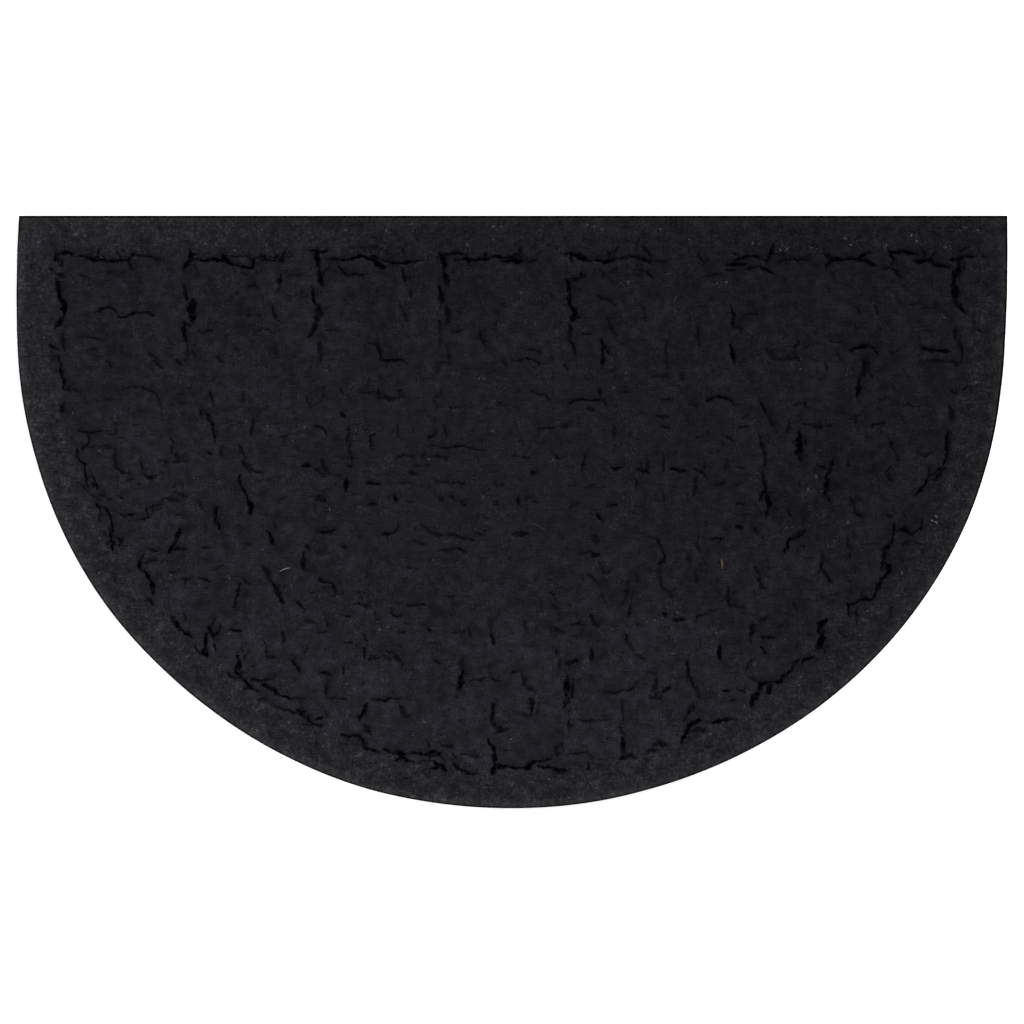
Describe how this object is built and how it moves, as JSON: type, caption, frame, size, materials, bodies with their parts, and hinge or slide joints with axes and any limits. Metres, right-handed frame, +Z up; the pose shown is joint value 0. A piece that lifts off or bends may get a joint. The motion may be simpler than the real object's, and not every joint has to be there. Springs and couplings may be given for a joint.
{
  "type": "half round coir doormat",
  "caption": "Half round doormat of black moulded rubber filled with coir, lying coir side down with its creased, dusty rubber back up.",
  "frame": {"origin": "on the floor, under the middle of the mat's bounding box", "axes": "+Z up out of the rubber back, +X along the straight edge, +Y from the round side to the straight edge"},
  "size_m": [0.7499, 0.4484, 0.01],
  "materials": {
    "black_rubber": "matt moulded rubber, dusty",
    "coir": "cut coir fibre"
  },
  "bodies": {
    "root": {"rubber_back": "black_rubber", "coir_pile": "coir"}
  },
  "joints": []
}
